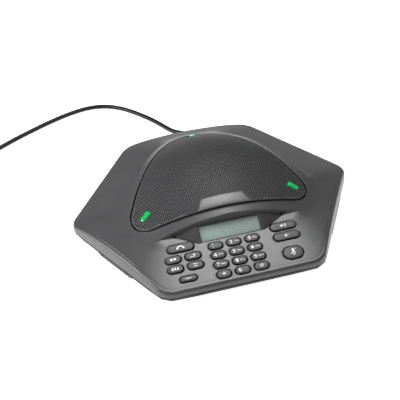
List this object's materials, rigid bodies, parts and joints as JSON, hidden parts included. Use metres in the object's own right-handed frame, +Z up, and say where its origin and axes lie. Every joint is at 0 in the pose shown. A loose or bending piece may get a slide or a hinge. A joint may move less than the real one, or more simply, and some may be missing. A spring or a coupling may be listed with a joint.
{
  "type": "conference speakerphone",
  "caption": "Low hexagonal table speakerphone with a domed speaker grille, three microphone lobes, a keypad facet with tilted display, travelling keys, and a free cable with plug.",
  "frame": {"origin": "centre of the hexagon at table height, under the three rubber feet", "axes": "+Z up from the table, -Y towards the keypad edge and the user, +X to the user's right"},
  "size_m": [0.4544, 0.3661, 0.0556],
  "materials": {
    "shell": "fine matt texture, charcoal grey",
    "grille": "perforated sheet with a matt coat, charcoal grey",
    "base": "matt black-grey moulding",
    "keys": "satin charcoal with pale printed symbols",
    "display_glass": "clear, slightly green-grey window",
    "display_panel": "green-grey reflective liquid crystal panel",
    "circuit_board": "green solder resist",
    "speaker_steel": "plated steel",
    "speaker_paper": "black paper cone",
    "light_guide": "translucent green light guide",
    "microphone_can": "bare metal can",
    "foot_rubber": "matt black rubber",
    "screw_steel": "zinc plated",
    "label": "blank silver-grey film",
    "cable_rubber": "satin black rubber",
    "cable_jacket": "satin black jacket",
    "tie": "woven hook-and-loop band",
    "plug": "clear moulding"
  },
  "bodies": {
    "unit": {"top_shell": "shell", "speaker_grille": "grille", "bottom_housing": "base", "display_bezel": "shell", "display_window": "display_glass", "display_module": "display_panel", "main_board": "circuit_board", "keypad_board": "circuit_board", "speaker_frame": "speaker_steel", "speaker_cone": "speaker_paper", "speaker_magnet": "speaker_steel", "rating_label": "label", "cable_relief": "cable_rubber", "cable": "cable_jacket", "cable_coil": "cable_jacket", "cable_tail": "cable_jacket", "cable_tie": "tie", "cable_plug": "plug", "light_back": "light_guide", "microphone_back": "microphone_can", "microphone_sleeve_back": "foot_rubber", "foot_back": "foot_rubber", "light_front_left": "light_guide", "microphone_front_left": "microphone_can", "microphone_sleeve_front_left": "foot_rubber", "foot_front_left": "foot_rubber", "light_front_right": "light_guide", "microphone_front_right": "microphone_can", "microphone_sleeve_front_right": "foot_rubber", "foot_front_right": "foot_rubber", "screw_1": "screw_steel", "screw_2": "screw_steel", "screw_3": "screw_steel", "screw_4": "screw_steel", "screw_5": "screw_steel", "screw_6": "screw_steel"},
    "key_star_cap": {"key_star": "keys"},
    "key_0_cap": {"key_0": "keys"},
    "key_hash_cap": {"key_hash": "keys"},
    "key_7_cap": {"key_7": "keys"},
    "key_8_cap": {"key_8": "keys"},
    "key_9_cap": {"key_9": "keys"},
    "key_4_cap": {"key_4": "keys"},
    "key_5_cap": {"key_5": "keys"},
    "key_6_cap": {"key_6": "keys"},
    "key_1_cap": {"key_1": "keys"},
    "key_2_cap": {"key_2": "keys"},
    "key_3_cap": {"key_3": "keys"},
    "key_hook_cap": {"key_hook": "keys"},
    "key_upper_left_cap": {"key_upper_left": "keys"},
    "key_upper_right_cap": {"key_upper_right": "keys"},
    "key_lower_left_cap": {"key_lower_left": "keys"},
    "key_lower_right_cap": {"key_lower_right": "keys"},
    "key_slim_cap": {"key_slim": "keys"},
    "key_volume_up_cap": {"key_volume_up": "keys"},
    "key_volume_down_cap": {"key_volume_down": "keys"},
    "key_mute_cap": {"key_mute": "keys"}
  },
  "joints": [
    {"name": "key_star_press", "type": "slide", "parent": "unit", "child": "key_star_cap", "axis": [0, 0.2756, -0.9613], "range_m": [0, 0.0012], "stiffness_N_per_m": 250, "springref_m": -0.0012},
    {"name": "key_0_press", "type": "slide", "parent": "unit", "child": "key_0_cap", "axis": [0, 0.2756, -0.9613], "range_m": [0, 0.0012], "stiffness_N_per_m": 250, "springref_m": -0.0012},
    {"name": "key_hash_press", "type": "slide", "parent": "unit", "child": "key_hash_cap", "axis": [0, 0.2756, -0.9613], "range_m": [0, 0.0012], "stiffness_N_per_m": 250, "springref_m": -0.0012},
    {"name": "key_7_press", "type": "slide", "parent": "unit", "child": "key_7_cap", "axis": [0, 0.2756, -0.9613], "range_m": [0, 0.0012], "stiffness_N_per_m": 250, "springref_m": -0.0012},
    {"name": "key_8_press", "type": "slide", "parent": "unit", "child": "key_8_cap", "axis": [0, 0.2756, -0.9613], "range_m": [0, 0.0012], "stiffness_N_per_m": 250, "springref_m": -0.0012},
    {"name": "key_9_press", "type": "slide", "parent": "unit", "child": "key_9_cap", "axis": [0, 0.2756, -0.9613], "range_m": [0, 0.0012], "stiffness_N_per_m": 250, "springref_m": -0.0012},
    {"name": "key_4_press", "type": "slide", "parent": "unit", "child": "key_4_cap", "axis": [0, 0.2756, -0.9613], "range_m": [0, 0.0012], "stiffness_N_per_m": 250, "springref_m": -0.0012},
    {"name": "key_5_press", "type": "slide", "parent": "unit", "child": "key_5_cap", "axis": [0, 0.2756, -0.9613], "range_m": [0, 0.0012], "stiffness_N_per_m": 250, "springref_m": -0.0012},
    {"name": "key_6_press", "type": "slide", "parent": "unit", "child": "key_6_cap", "axis": [0, 0.2756, -0.9613], "range_m": [0, 0.0012], "stiffness_N_per_m": 250, "springref_m": -0.0012},
    {"name": "key_1_press", "type": "slide", "parent": "unit", "child": "key_1_cap", "axis": [0, 0.2756, -0.9613], "range_m": [0, 0.0012], "stiffness_N_per_m": 250, "springref_m": -0.0012},
    {"name": "key_2_press", "type": "slide", "parent": "unit", "child": "key_2_cap", "axis": [0, 0.2756, -0.9613], "range_m": [0, 0.0012], "stiffness_N_per_m": 250, "springref_m": -0.0012},
    {"name": "key_3_press", "type": "slide", "parent": "unit", "child": "key_3_cap", "axis": [0, 0.2756, -0.9613], "range_m": [0, 0.0012], "stiffness_N_per_m": 250, "springref_m": -0.0012},
    {"name": "key_hook_press", "type": "slide", "parent": "unit", "child": "key_hook_cap", "axis": [0, 0.2756, -0.9613], "range_m": [0, 0.0012], "stiffness_N_per_m": 250, "springref_m": -0.0012},
    {"name": "key_upper_left_press", "type": "slide", "parent": "unit", "child": "key_upper_left_cap", "axis": [0, 0.2756, -0.9613], "range_m": [0, 0.0012], "stiffness_N_per_m": 250, "springref_m": -0.0012},
    {"name": "key_upper_right_press", "type": "slide", "parent": "unit", "child": "key_upper_right_cap", "axis": [0, 0.2756, -0.9613], "range_m": [0, 0.0012], "stiffness_N_per_m": 250, "springref_m": -0.0012},
    {"name": "key_lower_left_press", "type": "slide", "parent": "unit", "child": "key_lower_left_cap", "axis": [0, 0.2756, -0.9613], "range_m": [0, 0.0012], "stiffness_N_per_m": 250, "springref_m": -0.0012},
    {"name": "key_lower_right_press", "type": "slide", "parent": "unit", "child": "key_lower_right_cap", "axis": [0, 0.2756, -0.9613], "range_m": [0, 0.0012], "stiffness_N_per_m": 250, "springref_m": -0.0012},
    {"name": "key_slim_press", "type": "slide", "parent": "unit", "child": "key_slim_cap", "axis": [0, 0.2756, -0.9613], "range_m": [0, 0.0012], "stiffness_N_per_m": 250, "springref_m": -0.0012},
    {"name": "key_volume_up_press", "type": "slide", "parent": "unit", "child": "key_volume_up_cap", "axis": [0, 0.2756, -0.9613], "range_m": [0, 0.0012], "stiffness_N_per_m": 250, "springref_m": -0.0012},
    {"name": "key_volume_down_press", "type": "slide", "parent": "unit", "child": "key_volume_down_cap", "axis": [0, 0.2756, -0.9613], "range_m": [0, 0.0012], "stiffness_N_per_m": 250, "springref_m": -0.0012},
    {"name": "key_mute_press", "type": "slide", "parent": "unit", "child": "key_mute_cap", "axis": [0, 0.2756, -0.9613], "range_m": [0, 0.0012], "stiffness_N_per_m": 250, "springref_m": -0.0012}
  ]
}
